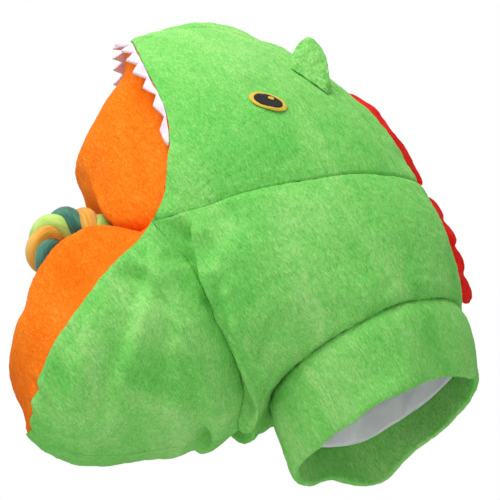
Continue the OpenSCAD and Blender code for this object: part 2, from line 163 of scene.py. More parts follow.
# Minky plush: 2 mm polyester pile, knitted and brushed one way. The pile leans, so it looks pale where it is
# brushed towards the eye, deep where it is brushed away, and lighter at every edge. The pale and deep patches are
# painted sheen and painted shade in the base colour; the lighter edges come from the sheen shader. Fibres lie in
# wisps 1 mm wide.
def plush(name, dark, middle, pale, sheenPatchSize=0.05, sheen=0.4, wisp=0.0010, rough=0.9):
    material, shader = newMaterial(name)
    place = addNode(material, "ShaderNodeTexCoord").outputs["Object"]
    brushed = addNode(material, "ShaderNodeMapping", [("Vector", place)], Rotation=(math.radians(-28), 0, 0),
                      Scale=(1, 1, 0.34)).outputs[0]
    # painted sheen and painted shade: soft pale and deep patches in the base colour stand in for light on the
    # leaning pile
    paintedSheenPatches = addNode(material, "ShaderNodeTexNoise", [("Vector", brushed)], Scale=1 / sheenPatchSize, Detail=3.0,
                      Roughness=0.6, Distortion=0.8).outputs[0]
    tufts = addNode(material, "ShaderNodeTexNoise", [("Vector", brushed)], Scale=1 / 0.004, Detail=2.0,
                    Roughness=0.6, Distortion=1.2).outputs[0]
    wisps = addNode(material, "ShaderNodeTexNoise", [("Vector", brushed)], Scale=1 / wisp, Detail=2.0,
                    Roughness=0.65, Distortion=0.6).outputs[0]
    half = addNode(material, "ShaderNodeMath", [(0, tufts)], operation="MULTIPLY").outputs[0]
    half.node.inputs[1].default_value = 0.5
    # painted sheen patches plus half of the real tuft pattern
    paintedSheenAndTufts = addNode(material, "ShaderNodeMath", [(0, paintedSheenPatches), (1, half)], operation="ADD").outputs[0]
    mixed = addNode(material, "ShaderNodeMath", [(0, paintedSheenAndTufts), (1, wisps)], operation="ADD").outputs[0]
    tone = addNode(material, "ShaderNodeMapRange", [("Value", mixed)], From_Min=0.88, From_Max=1.62).outputs[0]
    colour = rampBetween(material, tone, [(0.0, dark), (0.5, middle), (1.0, pale)])
    paint(material, shader, "Base Color", colour)
    low = addNode(material, "ShaderNodeBump", [("Height", tufts)], Strength=0.6, Distance=0.0014).outputs[0]
    high = addNode(material, "ShaderNodeBump", [("Height", wisps), ("Normal", low)], Strength=0.9,
                   Distance=0.0008).outputs[0]
    paint(material, shader, "Normal", high)
    shader.inputs["Roughness"].default_value = rough
    shader.inputs["Specular IOR Level"].default_value = 0.1
    shader.inputs["Sheen Weight"].default_value = sheen
    shader.inputs["Sheen Roughness"].default_value = 0.4
    shader.inputs["Sheen Tint"].default_value = linear(pale)
    return material


# Polyester satin lining: a smooth weave of 0.4 mm threads, slightly shiny, drawn at 0.8 mm so that it shows
def satin(name, shade, pale):
    material, shader = newMaterial(name)
    place = addNode(material, "ShaderNodeTexCoord").outputs["Object"]
    clouds = addNode(material, "ShaderNodeTexNoise", [("Vector", place)], Scale=60.0, Detail=4.0).outputs[0]
    paint(material, shader, "Base Color", rampBetween(material, clouds, [(0.3, shade), (0.7, pale)]))
    across = addNode(material, "ShaderNodeTexWave", [("Vector", place)], Scale=1 / 0.0016, Distortion=1.0,
                     bands_direction="Z").outputs[1]
    threads = addNode(material, "ShaderNodeBump", [("Height", across)], Strength=0.15, Distance=0.0002).outputs[0]
    paint(material, shader, "Normal", threads)
    shader.inputs["Roughness"].default_value = 0.45
    shader.inputs["Sheen Weight"].default_value = 0.3
    shader.inputs["Sheen Roughness"].default_value = 0.4
    return material


# Felt and wadding: matted fibres in all directions, no weave
def felt(name, shade, pale, fibre=0.0009, depth=0.0004):
    material, shader = newMaterial(name)
    place = addNode(material, "ShaderNodeTexCoord").outputs["Object"]
    fibres = addNode(material, "ShaderNodeTexNoise", [("Vector", place)], Scale=1 / fibre, Detail=3.0,
                     Distortion=1.5).outputs[0]
    clouds = addNode(material, "ShaderNodeTexNoise", [("Vector", place)], Scale=120.0, Detail=3.0).outputs[0]
    both = addNode(material, "ShaderNodeMath", [(0, fibres), (1, clouds)], operation="MULTIPLY").outputs[0]
    paint(material, shader, "Base Color", rampBetween(material, both, [(0.15, shade), (0.35, pale)]))
    bump = addNode(material, "ShaderNodeBump", [("Height", fibres)], Strength=0.5, Distance=depth).outputs[0]
    paint(material, shader, "Normal", bump)
    shader.inputs["Roughness"].default_value = 0.9
    shader.inputs["Specular IOR Level"].default_value = 0.2
    shader.inputs["Sheen Weight"].default_value = 0.25
    shader.inputs["Sheen Roughness"].default_value = 0.5
    return material


# Embroidery: rows of shiny polyester thread laid side by side, 0.4 mm apart, drawn at 0.6 mm
def embroidery(name, shade, pale, gloss=0.35):
    material, shader = newMaterial(name)
    place = addNode(material, "ShaderNodeTexCoord").outputs["Object"]
    turned = addNode(material, "ShaderNodeMapping", [("Vector", place)],
                     Rotation=(math.radians(35), 0, 0)).outputs[0]
    rows = addNode(material, "ShaderNodeTexWave", [("Vector", turned)], Scale=1 / 0.0019, Distortion=2.5,
                   Detail=1.0, bands_direction="Y").outputs[1]
    paint(material, shader, "Base Color", rampBetween(material, rows, [(0.0, shade), (0.6, pale)]))
    bump = addNode(material, "ShaderNodeBump", [("Height", rows)], Strength=0.6, Distance=0.0003).outputs[0]
    paint(material, shader, "Normal", bump)
    shader.inputs["Roughness"].default_value = gloss
    shader.inputs["Specular IOR Level"].default_value = 0.3
    return material


# Rope strand: soft acrylic yarn, its fibres run along the strand and lean round it
def yarn(name, dark, middle, pale):
    material, shader = newMaterial(name)
    along = addNode(material, "ShaderNodeUVMap", uv_map="fibreMap").outputs[0]
    stretched = addNode(material, "ShaderNodeMapping", [("Vector", along)], Scale=(0.16, 1, 1),
                        Rotation=(0, 0, math.radians(12))).outputs[0]
    fibres = addNode(material, "ShaderNodeTexNoise", [("Vector", stretched)], Scale=1 / 0.0008, Detail=3.0,
                     Roughness=0.65).outputs[0]
    clouds = addNode(material, "ShaderNodeTexNoise", [("Vector", along)], Scale=1 / 0.008, Detail=2.0).outputs[0]
    both = addNode(material, "ShaderNodeMath", [(0, fibres), (1, clouds)], operation="ADD").outputs[0]
    tone = addNode(material, "ShaderNodeMapRange", [("Value", both)], From_Min=0.7, From_Max=1.3).outputs[0]
    paint(material, shader, "Base Color", rampBetween(material, tone, [(0, dark), (0.5, middle), (1, pale)]))
    bump = addNode(material, "ShaderNodeBump", [("Height", fibres)], Strength=0.6, Distance=0.0005).outputs[0]
    paint(material, shader, "Normal", bump)
    shader.inputs["Roughness"].default_value = 0.8
    shader.inputs["Specular IOR Level"].default_value = 0.2
    shader.inputs["Sheen Weight"].default_value = 0.4
    shader.inputs["Sheen Roughness"].default_value = 0.5
    return material


greenPlush = plush("greenMinkyPlush", "#56C04C", "#80D466", "#AEE68C")
orangePlush = plush("orangeMinkyPlush", "#FA6606", "#FF7D12", "#FF9836", sheen=0.2)
redFleece = plush("redFleece", "#C90F0C", "#E81C12", "#F5382A", sheenPatchSize=0.02, sheen=0.15)
whiteSatin = satin("whiteSatinLining", "#E2E1EA", "#F8F8FC")
whiteFelt = felt("whiteFelt", "#DCC6D6", "#F6EAF2")
wadding = felt("polyesterWadding", "#E2E2DC", "#F8F8F4", fibre=0.002, depth=0.0012)
yellowThread = embroidery("yellowEmbroidery", "#D2A41C", "#F6D546")
blackThread = embroidery("blackEmbroidery", "#0A0A0B", "#1B1B1E", gloss=0.6)
ropeYarns = [
    yarn("limeYarn", "#8CBF4C", "#B5DE66", "#CDEE8C"),
    yarn("tealYarn", "#1F5446", "#33725F", "#4F9480"),
    yarn("amberYarn", "#C88A1C", "#E5A733", "#F3C25C"),
]


# ---- working on one piece ----
def activate(piece):
    bpy.ops.object.select_all(action="DESELECT")
    piece.hide_viewport = False
    piece.select_set(True)
    bpy.context.view_layer.objects.active = piece


def inEditMode(piece, steps):
    activate(piece)
    bpy.ops.object.mode_set(mode="EDIT")
    steps()
    bpy.ops.object.mode_set(mode="OBJECT")


def applyModifier(piece, kind, **settings):
    activate(piece)
    modifier = piece.modifiers.new(kind.lower(), kind)
    for name, value in settings.items():
        setattr(modifier, name, value)
    bpy.ops.object.modifier_apply(modifier=modifier.name)


def subdivide(piece, levels):
    applyModifier(piece, "SUBSURF", levels=levels, render_levels=levels, boundary_smooth="PRESERVE_CORNERS")
    for name in ("crease_vert", "crease_edge"):
        if name in piece.data.attributes:
            piece.data.attributes.remove(piece.data.attributes[name])


def holdCorners(piece, sharp=35):
    points = piece.data.vertices
    beside = {}
    for a, b in borderEdges(piece):
        beside.setdefault(a, []).append(b)
        beside.setdefault(b, []).append(a)
    held = piece.data.attributes.new("crease_vert", "FLOAT", "POINT")
    for index, ends in beside.items():
        ways = [points[end].co - points[index].co for end in ends]
        if len(ways) != 2 or min(way.length for way in ways) == 0 or ways[0].angle(-ways[1]) > math.radians(sharp):
            held.data[index].value = 1


def copyNodes(name, nodes, merge=0.00002):
    copies = []
    for node in nodes:
        copy = bpy.data.objects.new(name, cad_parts[node].data.copy())
        bpy.context.collection.objects.link(copy)
        copies.append(copy)
    activate(copies[0])
    for copy in copies[1:]:
        copy.select_set(True)
    if len(copies) > 1:
        bpy.ops.object.join()
    piece = copies[0]
    piece.name = name
    piece.data.name = name
    piece.data.materials.clear()

    def mergeTriangles():
        bpy.ops.mesh.select_all(action="SELECT")
        bpy.ops.mesh.remove_doubles(threshold=merge)
        bpy.ops.mesh.tris_convert_to_quads(face_threshold=math.radians(70), shape_threshold=math.radians(70))

    inEditMode(piece, mergeTriangles)
    return piece


def selectFaces(piece, wanted):
    inEditMode(piece, lambda: (bpy.ops.mesh.select_mode(type="FACE"), bpy.ops.mesh.select_all(action="DESELECT")))
    for face in piece.data.polygons:
        face.select = wanted(face)


def keepFaces(piece, wanted):
    selectFaces(piece, lambda face: not wanted(face.center, face.normal))
    inEditMode(piece, lambda: bpy.ops.mesh.delete(type="FACE"))


def keepSheet(piece, middle, sharpness=50, side=1):
    def faceScore(face):
        return side * face.normal.dot((face.center - middle).normalized()) * face.area

    seed = max(piece.data.polygons, key=faceScore)
    chosen = seed.index
    selectFaces(piece, lambda face: face.index == chosen)

    def cutOff():
        bpy.ops.mesh.faces_select_linked_flat(sharpness=math.radians(sharpness))
        bpy.ops.mesh.select_all(action="INVERT")
        bpy.ops.mesh.delete(type="FACE")

    inEditMode(piece, cutOff)


def borderEdges(piece):
    uses = {}
    for polygon in piece.data.polygons:
        for key in polygon.edge_keys:
            uses[key] = uses.get(key, 0) + 1
    return [key for key, count in uses.items() if count == 1]


def borderOf(piece):
    return {index for key in borderEdges(piece) for index in key}


def puffUp(pieces, pressure, cap, slack, bending=0.5, frames=20, axis=None, slope=None):
    scene = bpy.context.scene
    starts = {}
    for piece in pieces:
        group = piece.vertex_groups.new(name="seam")
        group.add(sorted(borderOf(piece)), 1.0, "REPLACE")
        starts[piece.name] = [v.co.copy() for v in piece.data.vertices]
        cloth = piece.modifiers.new("cloth", "CLOTH")
        cloth.point_cache.frame_start = 1
        cloth.point_cache.frame_end = frames
        cloth.collision_settings.use_collision = False
        cloth.collision_settings.use_self_collision = False
        settings = cloth.settings
        settings.quality = 5
        settings.mass = 0.15
        settings.tension_stiffness = 10
        settings.compression_stiffness = 10
        settings.shear_stiffness = 5
        settings.bending_stiffness = bending
        settings.use_pressure = True
        settings.uniform_pressure_force = pressure
        settings.vertex_group_mass = "seam"
        settings.shrink_min = -slack
        settings.effector_weights.gravity = 0
    for number in range(1, frames + 1):
        scene.frame_set(number)
    graph = bpy.context.evaluated_depsgraph_get()
    for piece in pieces:
        puffed = piece.evaluated_get(graph).to_mesh()
        ends = [v.co.copy() for v in puffed.vertices]
        piece.evaluated_get(graph).to_mesh_clear()
        piece.modifiers.clear()
        furthest = 0
        edges = borderTree([piece])
        for vertex, start, end in zip(piece.data.vertices, starts[piece.name], ends):
            move = end - start
            if axis is not None:        # only towards the axis, so that it stays inside its tube
                away = Vector((start.x - axis.x, start.y - axis.y, 0)).normalized()
                move -= away * max(move.dot(away), 0)
            furthest = max(furthest, move.length)
            most = cap if slope is None else min(cap, edges.find(start)[2] * slope)
            if move.length > most:
                move *= most / move.length
            vertex.co = start + move
        piece.vertex_groups.clear()
        print("puffed", piece.name, "by at most", round(furthest * 1000, 1), "mm")
    scene.frame_set(1)


def gatherCorners(piece, reach):
    for index in borderOf(piece):
        vertex = piece.data.vertices[index]
        for corner in mouthCorners:
            if (vertex.co - corner).length < reach:
                vertex.co = corner
    inEditMode(piece, lambda: (bpy.ops.mesh.select_all(action="SELECT"),
                               bpy.ops.mesh.remove_doubles(threshold=0.00002)))


def meetBorder(piece, others, reach, leaveOut=lambda place: False):
    tree = borderTree(others)
    for index in borderOf(piece):
        vertex = piece.data.vertices[index]
        place, _, distance = tree.find(vertex.co)
        if distance < reach and not leaveOut(vertex.co):
            vertex.co = place


def borderTree(pieces, steps=12):
    points = []
    for piece in pieces:
        for a, b in borderEdges(piece):
            start, end = piece.data.vertices[a].co, piece.data.vertices[b].co
            points += [start.lerp(end, step / steps) for step in range(steps + 1)]
    return treeOf(points)


def treeOf(points):
    tree = kdtree.KDTree(len(points))
    for number, point in enumerate(points):
        tree.insert(point, number)
    tree.balance()
    return tree


def ruffle(piece, height, size, fineHeight=0.0, fineSize=0.001):
    mesh = piece.data
    normals = [v.normal.copy() for v in mesh.vertices]
    for vertex, normal in zip(mesh.vertices, normals):
        lift = height * noise.noise(vertex.co / size)
        if fineHeight:
            lift += fineHeight * noise.noise(vertex.co / fineSize)
        vertex.co += normal * lift


def dress(piece, material):
    piece.data.materials.clear()
    piece.data.materials.append(material)
    for polygon in piece.data.polygons:
        polygon.material_index = 0
        polygon.use_smooth = True


def followHead(piece):
    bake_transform(piece)


def followJaw(piece):
    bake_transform(piece)


# ---- rope tongue ----
rope = {
    "route": [
        (12, -82, 166), (11, -87, 177), (8, -91, 190), (3, -99, 201), (0, -110, 204), (0, -119, 199),
        (0, -123, 190), (-3, -119, 179), (-8, -108, 173), (-11, -95, 169), (-12, -83, 164),
    ],
    "thickness": 0.021,
    "lead": 0.034,      # one turn of the strands
    "rings": 140,
    "rootLength": 0.014,
    "rootShare": 0.4,
    "sides": 20,
}


def routePoints(points, count):
    knots = [Vector(p) / 1000 for p in points]
    last = len(knots) - 1
    found = []
    for step in range(count + 1):
        x = step / count * last
        i = min(int(x), last - 1)
        s = x - i
        a, b, c, d = knots[max(i - 1, 0)], knots[i], knots[i + 1], knots[min(i + 2, last)]
        found.append(0.5 * (2 * b + (c - a) * s + (2 * a - 5 * b + 4 * c - d) * s ** 2
                            + (3 * b - a - 3 * c + d) * s ** 3))
    return found


def makeRope():
    points = routePoints(rope["route"], rope["rings"])
    last = len(points) - 1
    ways = [(points[min(i + 1, last)] - points[max(i - 1, 0)]).normalized() for i in range(last + 1)]
    normal = Vector((0, 0.673, 0.74))
    travelled = [0.0]
    for i in range(last):
        travelled.append(travelled[-1] + (points[i + 1] - points[i]).length)
    normals = []
    for way in ways:
        normal = (normal - way * normal.dot(way)).normalized()
        normals.append(normal)
    total = travelled[-1]
    strandRadius = rope["thickness"] * 0.26
    out = rope["thickness"] / 2 - strandRadius
    strands = []
    for number, phase in enumerate((90, 210, 330)):
        data = bpy.data.curves.new("strand", "CURVE")
        data.dimensions = "3D"
        data.bevel_depth = strandRadius
        data.bevel_resolution = rope["sides"] // 2 - 2
        data.use_fill_caps = True
        spline = data.splines.new("POLY")
        spline.points.add(last)
        for i, point in enumerate(points):
            turn = math.radians(phase) + 2 * math.pi * travelled[i] / rope["lead"]
            side = ways[i].cross(normals[i])
            end = min(1, min(travelled[i], total - travelled[i]) / rope["rootLength"])
            taper = rope["rootShare"] + (1 - rope["rootShare"]) * math.sin(end * math.pi / 2)
            place = point + (normals[i] * math.cos(turn) + side * math.sin(turn)) * out * taper
            spline.points[i].co = (*place, 1)
            spline.points[i].radius = taper
        strand = bpy.data.objects.new("strand", data)
        bpy.context.collection.objects.link(strand)
        activate(strand)
        bpy.ops.object.convert(target="MESH")
        strand = bpy.context.object
        mesh = strand.data
        around = 2 * data.bevel_resolution + 4 if data else 20
        fibreMap = mesh.uv_layers[0] if mesh.uv_layers else mesh.uv_layers.new(name="fibreMap")
        fibreMap.name = "fibreMap"
        for loop in mesh.loops:
            ring, turn = divmod(loop.vertex_index, around)
            along = travelled[min(ring, last)]
            fibreMap.data[loop.index].uv = (along, turn / around * 2 * math.pi * strandRadius)
        mesh.materials.clear()
        for yarnMaterial in ropeYarns:
            mesh.materials.append(yarnMaterial)
        for polygon in mesh.polygons:
            polygon.material_index = number
            polygon.use_smooth = True
        strands.append(strand)
    activate(strands[0])
    for strand in strands[1:]:
        strand.select_set(True)
    bpy.ops.object.join()
    tongue = bpy.context.object
    tongue.name = "ropeTongue"
    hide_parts("rope_strand_green", "rope_strand_teal", "rope_strand_amber")
    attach(tongue, "rope")
    print("rope", round(total * 1000), "mm")
    return tongue


# ---- green panels ----
panels = {
    "neckLeft": ("neck_skin_left", neckMiddle, followHead),
    "neckRight": ("neck_skin_right", neckMiddle, followHead),
    "crownGusset": ("crown_gusset", crease, followHead),
    "headSideLeft": ("head_side_left", crease, followHead),
    "headSideRight": ("head_side_right", crease, followHead),
    "jawSideLeft": ("jaw_skin_left", crease, followJaw),
    "jawSideRight": ("jaw_skin_right", crease, followJaw),
}
skinLook = {
    "thickness": 0.0022,
    "pressure": 3.0,
    "cap": 0.005,
    "slack": 0.02,
    "cornerReach": 0.0145,
    "seamReach": 0.0055,
}


def makePanels():
    made = {}
    before = []
    for name, (node, middle, follow) in panels.items():
        piece = copyNodes(name, [node])
        keepSheet(piece, middle)
        before.append(BVHTree.FromObject(piece, bpy.context.evaluated_depsgraph_get()))
        gatherCorners(piece, skinLook["cornerReach"])
        holdCorners(piece)
        subdivide(piece, 2)
        if made:
            meetBorder(piece, made.values(), skinLook["seamReach"])
        made[name] = piece
    return made, before


# Folds where the plush is pulled in, in millimetres on the left side. The right side folds nearly the same.
folds = {
    "throat": {"line": [(62, -66, 146), (62, -68, 137), (64, -77, 111), (57, -79, 87), (46, -79, 68), (29, -78, 51),
                        (10, -76, 42)], "depth": 0.011, "width": 0.006},
    "neckSide": {"line": [(63, -54, 132), (63, -58, 119), (63, -62, 102), (61, -68, 90), (56, -71, 79),
                          (43, -66, 55), (26, -61, 46)], "depth": 0.005, "width": 0.0035},
    "jawCheek": {"line": [(62, -103, 130), (62, -110, 122), (56, -129, 104), (43, -148, 87), (34, -155, 79)],
                 "depth": 0.007, "width": 0.0075},
    "jawMiddle": {"line": [(63, -96, 112), (56, -106, 88), (40, -113, 67)], "depth": 0.0045, "width": 0.006},
    "jawBottom": {"line": [(50, -99, 76), (40, -101, 63), (27, -104, 54), (-5, -101, 46)],
                  "depth": 0.006, "width": 0.0045},
    "lipEnd": {"line": [(26, -179, 120), (27, -178, 102), (23, -177, 91)], "depth": 0.003, "width": 0.003},
    "lipTip": {"line": [(17, -183, 113), (13, -183, 94)], "depth": 0.0018, "width": 0.003},
    "mouthCorner": {"line": [(63, -59, 171), (64, -49, 147), (67, -33, 130)], "depth": 0.0015, "width": 0.009},
    "neck": {"line": [(68, -2, 113), (67, 5, 92), (65, 12, 80)], "depth": 0.0012, "width": 0.010},
    "head": {"line": [(57, 3, 226), (60, 11, 205), (57, 25, 203)], "depth": 0.0012, "width": 0.007},
}
slackLook = {
    "seamDip": 0.0007,      # how far the pile sinks at a seam
    "seamWidth": 0.0022,
    "sway": 0.0018,         # how uneven the stuffed cloth is
    "swaySize": 0.042,
    "cuffSway": 0.0065,
    "cuffSize": 0.034,
    "cuffSeam": 0.058,      # height at which the cuff's cloth starts to hang free
}


def towardsLine(place, line):
    best = None
    for start, end in zip(line, line[1:]):
        along = end - start
        share = min(1, max(0, (place - start).dot(along) / along.length_squared))
        distance = (place - start - along * share).length
        if best is None or distance < best:
            best = distance
    return best


# Every move here depends on the place alone, so that neighbours stay sewn together
def hang(place):
    sway = noise.noise_vector(place / slackLook["swaySize"]) * slackLook["sway"]
    free = min(1, max(0, 1 - place.z / slackLook["cuffSeam"]))
    sway += noise.noise_vector(place / slackLook["cuffSize"] + Vector((3, 7, 1))) * slackLook["cuffSway"] * free
    return sway


def foldCloth(piece, seams=True, spread=1.0):
    lines = []
    for fold in folds.values():
        for side in (1, -1):
            line = [Vector((side * x, y, z)) / 1000 for x, y, z in fold["line"]]
            low = Vector([min(point[i] for point in line) for i in range(3)])
            high = Vector([max(point[i] for point in line) for i in range(3)])
            depth = fold["depth"] * (1 if side == 1 else 0.8)
            lines.append((line, low, high, depth * math.sqrt(spread), fold["width"] * spread))
    own = borderTree([piece]) if seams else None
    for vertex in piece.data.vertices:
        place = vertex.co.copy()
        inward = (neckMiddle - place).normalized()
        depth = 0
        for line, low, high, most, width in lines:
            reach = width * 3.5
            if all(low[i] - reach < place[i] < high[i] + reach for i in range(3)):
                away = towardsLine(place, line) / width
                depth += most * (math.exp(-away ** 2) - 0.35 * math.exp(-(away - 2) ** 2) * (spread == 1.0))
        if own is not None:
            depth += slackLook["seamDip"] * math.exp(-(own.find(place)[2] / slackLook["seamWidth"]) ** 2)
        vertex.co = place + inward * depth + hang(place)


def finishSheet(piece, material, thickness, ruffles=(0.0004, 0.006, 0.00035, 0.002)):
    holdCorners(piece)
    applyModifier(piece, "SOLIDIFY", thickness=thickness, offset=-1, use_even_offset=False,
                  edge_crease_outer=1, edge_crease_inner=1)
    subdivide(piece, 1)
    ruffle(piece, *ruffles)
    dress(piece, material)


# ---- cuff: one band, folded at the rim and turned up inside ----
cuffLook = {"pressure": 2.0, "cap": 0.004, "slack": 0.03}


def joinPieces(pieces, merge):
    activate(pieces[0])
    for piece in pieces[1:]:
        piece.select_set(True)
    bpy.ops.object.join()
    inEditMode(pieces[0], lambda: (bpy.ops.mesh.select_all(action="SELECT"),
                                   bpy.ops.mesh.remove_doubles(threshold=merge)))
    return pieces[0]


def makeCuff(neck):
    middle = Vector((0, 0.004, 0.03))
    band = copyNodes("cuffCloth", ["cuff_band"])
    keepSheet(band, middle, sharpness=62)
    facing = copyNodes("facing", ["cuff_facing"])
    keepSheet(facing, middle, side=-1)
    cuff = joinPieces([band, facing], 0.0007)
    holdCorners(cuff)
    subdivide(cuff, 2)
    meetBorder(cuff, neck, skinLook["seamReach"])
    return cuff


# ---- lining: satin gathered inside the sleeve ----
liningLook = {"pressure": 4.0, "cap": 0.02, "slack": 0.25, "thickness": 0.0008, "axis": Vector((0, 0.004, 0)),
              "inset": 0.07, "facingTop": 0.036, "gap": 0.002}


def makeLining():
    lining = copyNodes("sleeveLining", ["sleeve_lining"])
    keepSheet(lining, Vector((0, 0.005, 0.075)), side=-1)
    subdivide(lining, 2)
    return lining


def shrinkLining(lining):
    for vertex in lining.data.vertices:
        share = 1 - liningLook["inset"] * min(1, max(0, (vertex.co.z - 0.022) / 0.015))
        vertex.co.x *= share
        vertex.co.y = liningLook["axis"].y + (vertex.co.y - liningLook["axis"].y) * share


def keepInside(lining, walls):
    for vertex in lining.data.vertices:
        if vertex.co.z < liningLook["facingTop"]:
            continue
        middle = Vector((liningLook["axis"].x, liningLook["axis"].y, vertex.co.z))
        away = vertex.co - middle
        radius = away.length
        away.normalize()
        hits = [wall.ray_cast(middle, away)[3] for wall in walls]
        room = min([hit for hit in hits if hit is not None], default=1) - liningLook["gap"]
        vertex.co = middle + away * min(radius, room)


# ---- mouth: two padded palates and the fold between them ----
palates = {
    "palateUpper": ("upper_palate", Vector((0, -0.906, 0.423)), ("headSideLeft", "headSideRight", "crownGusset"), followHead),
    "palateLower": ("lower_palate", Vector((0, -0.454, 0.891)), ("jawSideLeft", "jawSideRight"), followJaw),
}
palateLook = {
    "across": 96,
    "deep": 36,
    "pressure": 4.0,
    "cap": 0.005,
    "slack": 0.05,
    "puffSlope": 0.12,
    "lipReach": 0.015,      # a lip is a free border this near the palate's solid
    "sewn": 0.0006,         # a border this near another panel's is a seam
    "edgeShare": 0.10,      # the share of the depth in which the surface rises from the crease
    "slope": {"palateUpper": 0.06, "palateLower": 0.7},     # how steeply it rises beside the lip at most
    "flat": {"palateUpper": 0.013, "palateLower": 0.009},   # width of the strip where that holds
    "tuck": 0.0008,         # how far its border lies under the lip's edge
    "ropeRoom": (0.022, 0.065, 0.008),      # half width, length and depth of the hollow in which the rope lies
    "thickness": 0.002,
}


def lipCurve(solid, panelsAtLip, made, along, count):
    found = []
    for panel in panelsAtLip:
        others = borderTree([other for other in made.values() if other != panel])
        for a, b in borderEdges(panel):
            ends = [panel.data.vertices[index].co for index in (a, b)]
            if all(solid.find_nearest(end)[3] < palateLook["lipReach"]
                   and others.find(end)[2] > palateLook["sewn"] for end in ends):
                found += [ends[0].copy(), (ends[0] + ends[1]) / 2, ends[1].copy()]
    found.sort(key=lambda place: math.atan2(place.x, (place - crease).dot(along)))
    route = [mouthCorners[1]]
    for place in found + [mouthCorners[0]]:
        if (place - route[-1]).length > 0.0008:
            route.append(place)
    travelled = [0]
    for a, b in zip(route, route[1:]):
        travelled.append(travelled[-1] + (b - a).length)
    points = []
    i = 0
    for step in range(count + 1):
        wanted = travelled[-1] * step / count
        while i < len(route) - 2 and travelled[i + 1] < wanted:
            i += 1
        share = (wanted - travelled[i]) / (travelled[i + 1] - travelled[i])
        points.append(route[i].lerp(route[i + 1], min(1, share)))
    return points


upperLip = []


def makePalates(made):
    found = {}
    across, deep = palateLook["across"], palateLook["deep"]
    for name, (node, up, lips, follow) in palates.items():
        solid = BVHTree.FromObject(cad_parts[node], bpy.context.evaluated_depsgraph_get())
        along = Vector((1, 0, 0)).cross(up)
        if name == "palateUpper":
            along = -along
        lip = lipCurve(solid, [made[panel] for panel in lips], made, along, across)
        lipTree = treeOf(lip)
        heights = [(place - crease).dot(up) for place in lip]
        flatTree = treeOf([place - up * height for place, height in zip(lip, heights)])
        bpy.ops.object.select_all(action="DESELECT")
        bpy.ops.mesh.primitive_grid_add(x_subdivisions=across, y_subdivisions=deep, size=2)
        piece = bpy.context.object
        piece.name = name
        for vertex in piece.data.vertices:
            column = (vertex.co.x + 1) / 2
            row = (vertex.co.y + 1) / 2
            end = lip[round(column * across)]
            start = Vector((mouthCorners[0].x * (2 * column - 1), crease.y, crease.z))
            place = start.lerp(end, row)
            hit = solid.ray_cast(place + up * 0.07, -up, 0.12)[0]
            rise = max((hit - place).dot(up), -0.004) if hit is not None else 0
            edge = min(1, min(row, 1 - row, column, 1 - column) / palateLook["edgeShare"])
            height = (place - crease).dot(up)
            _, nearest, fromLip = flatTree.find(place - up * height)
            most = heights[nearest] + fromLip * palateLook["slope"][name]
            most += max(0, fromLip - palateLook["flat"][name]) * 1.2
            fromCrease = (place - crease).dot(along)
            room = max(0, 1 - (place.x / palateLook["ropeRoom"][0]) ** 2) * max(0, 1 - fromCrease / palateLook["ropeRoom"][1])
            rise -= palateLook["ropeRoom"][2] * room
            vertex.co = place + up * (min(most, height + rise * math.sin(edge * math.pi / 2)) - height)
        inEditMode(piece, lambda: (bpy.ops.mesh.select_all(action="SELECT"),
                                   bpy.ops.mesh.remove_doubles(threshold=0.00005)))
        if sum((face.normal * face.area for face in piece.data.polygons), Vector()).dot(up) < 0:
            inEditMode(piece, lambda: (bpy.ops.mesh.select_all(action="SELECT"), bpy.ops.mesh.flip_normals()))
        border = borderOf(piece)

        def smoothInside():
            bpy.ops.mesh.select_mode(type="VERT")
            bpy.ops.mesh.select_all(action="DESELECT")

        inEditMode(piece, smoothInside)
        for vertex in piece.data.vertices:
            vertex.select = vertex.index not in border
        inEditMode(piece, lambda: bpy.ops.mesh.vertices_smooth(factor=0.5, repeat=8))
        middle = crease + along * 0.06
        for index in border:
            vertex = piece.data.vertices[index]
            if lipTree.find(vertex.co)[2] < 0.0005:
                vertex.co += (middle - vertex.co).normalized() * palateLook["tuck"] - up * palateLook["tuck"]
        print(name, "lip of", len(lip), "points, widest", round(max(abs(place.x) for place in lip) * 1000), "mm")
        found[name] = piece
        if name == "palateUpper":
            upperLip.extend(lip)
    return found


creaseFold = {"radius": 0.0032, "length": 0.120}


def makeCreaseFold():
    bpy.ops.object.select_all(action="DESELECT")
    bpy.ops.mesh.primitive_cylinder_add(vertices=20, radius=creaseFold["radius"], depth=creaseFold["length"],
                                        location=crease, rotation=(0, math.radians(90), 0))
    fold = bpy.context.object
    fold.name = "creaseFold"
    bpy.ops.object.transform_apply(location=True, rotation=True, scale=True)
    applyModifier(fold, "REMESH", mode="VOXEL", voxel_size=0.0012)
    for vertex in fold.data.vertices:
        room = max(0.1, 1 - (abs(vertex.co.x) * 2 / creaseFold["length"]) ** 3)
        vertex.co.y = crease.y + (vertex.co.y - crease.y) * room
        vertex.co.z = crease.z + (vertex.co.z - crease.z) * room
    ruffle(fold, 0.0005, 0.008, 0.0002, 0.002)
    dress(fold, orangePlush)
    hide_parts("mouth_crease")
    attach(fold, "sleeve")


# ---- stuffing and pockets, hidden under the plush ----
stuffings = {
    "headStuffing": ("head_filling", followHead),
    "upperPalateStuffing": ("upper_palate_filling", followHead),
    "lowerPalateStuffing": ("lower_palate_filling", followJaw),
    "chinStuffing": ("chin_filling", followJaw),
}
pockets = {
    "fingerPocket": ("finger_pocket", followHead),
    "thumbPocket": ("thumb_pocket", followJaw),
}


def sinkUnder(piece, cover, up, depth):
    surface = BVHTree.FromObject(cover, bpy.context.evaluated_depsgraph_get())
    for vertex in piece.data.vertices:
        hit = surface.ray_cast(vertex.co + up * 0.08, -up, 0.2)[0]
        if hit is not None:
            vertex.co -= up * max(0, depth - (hit - vertex.co).dot(up))


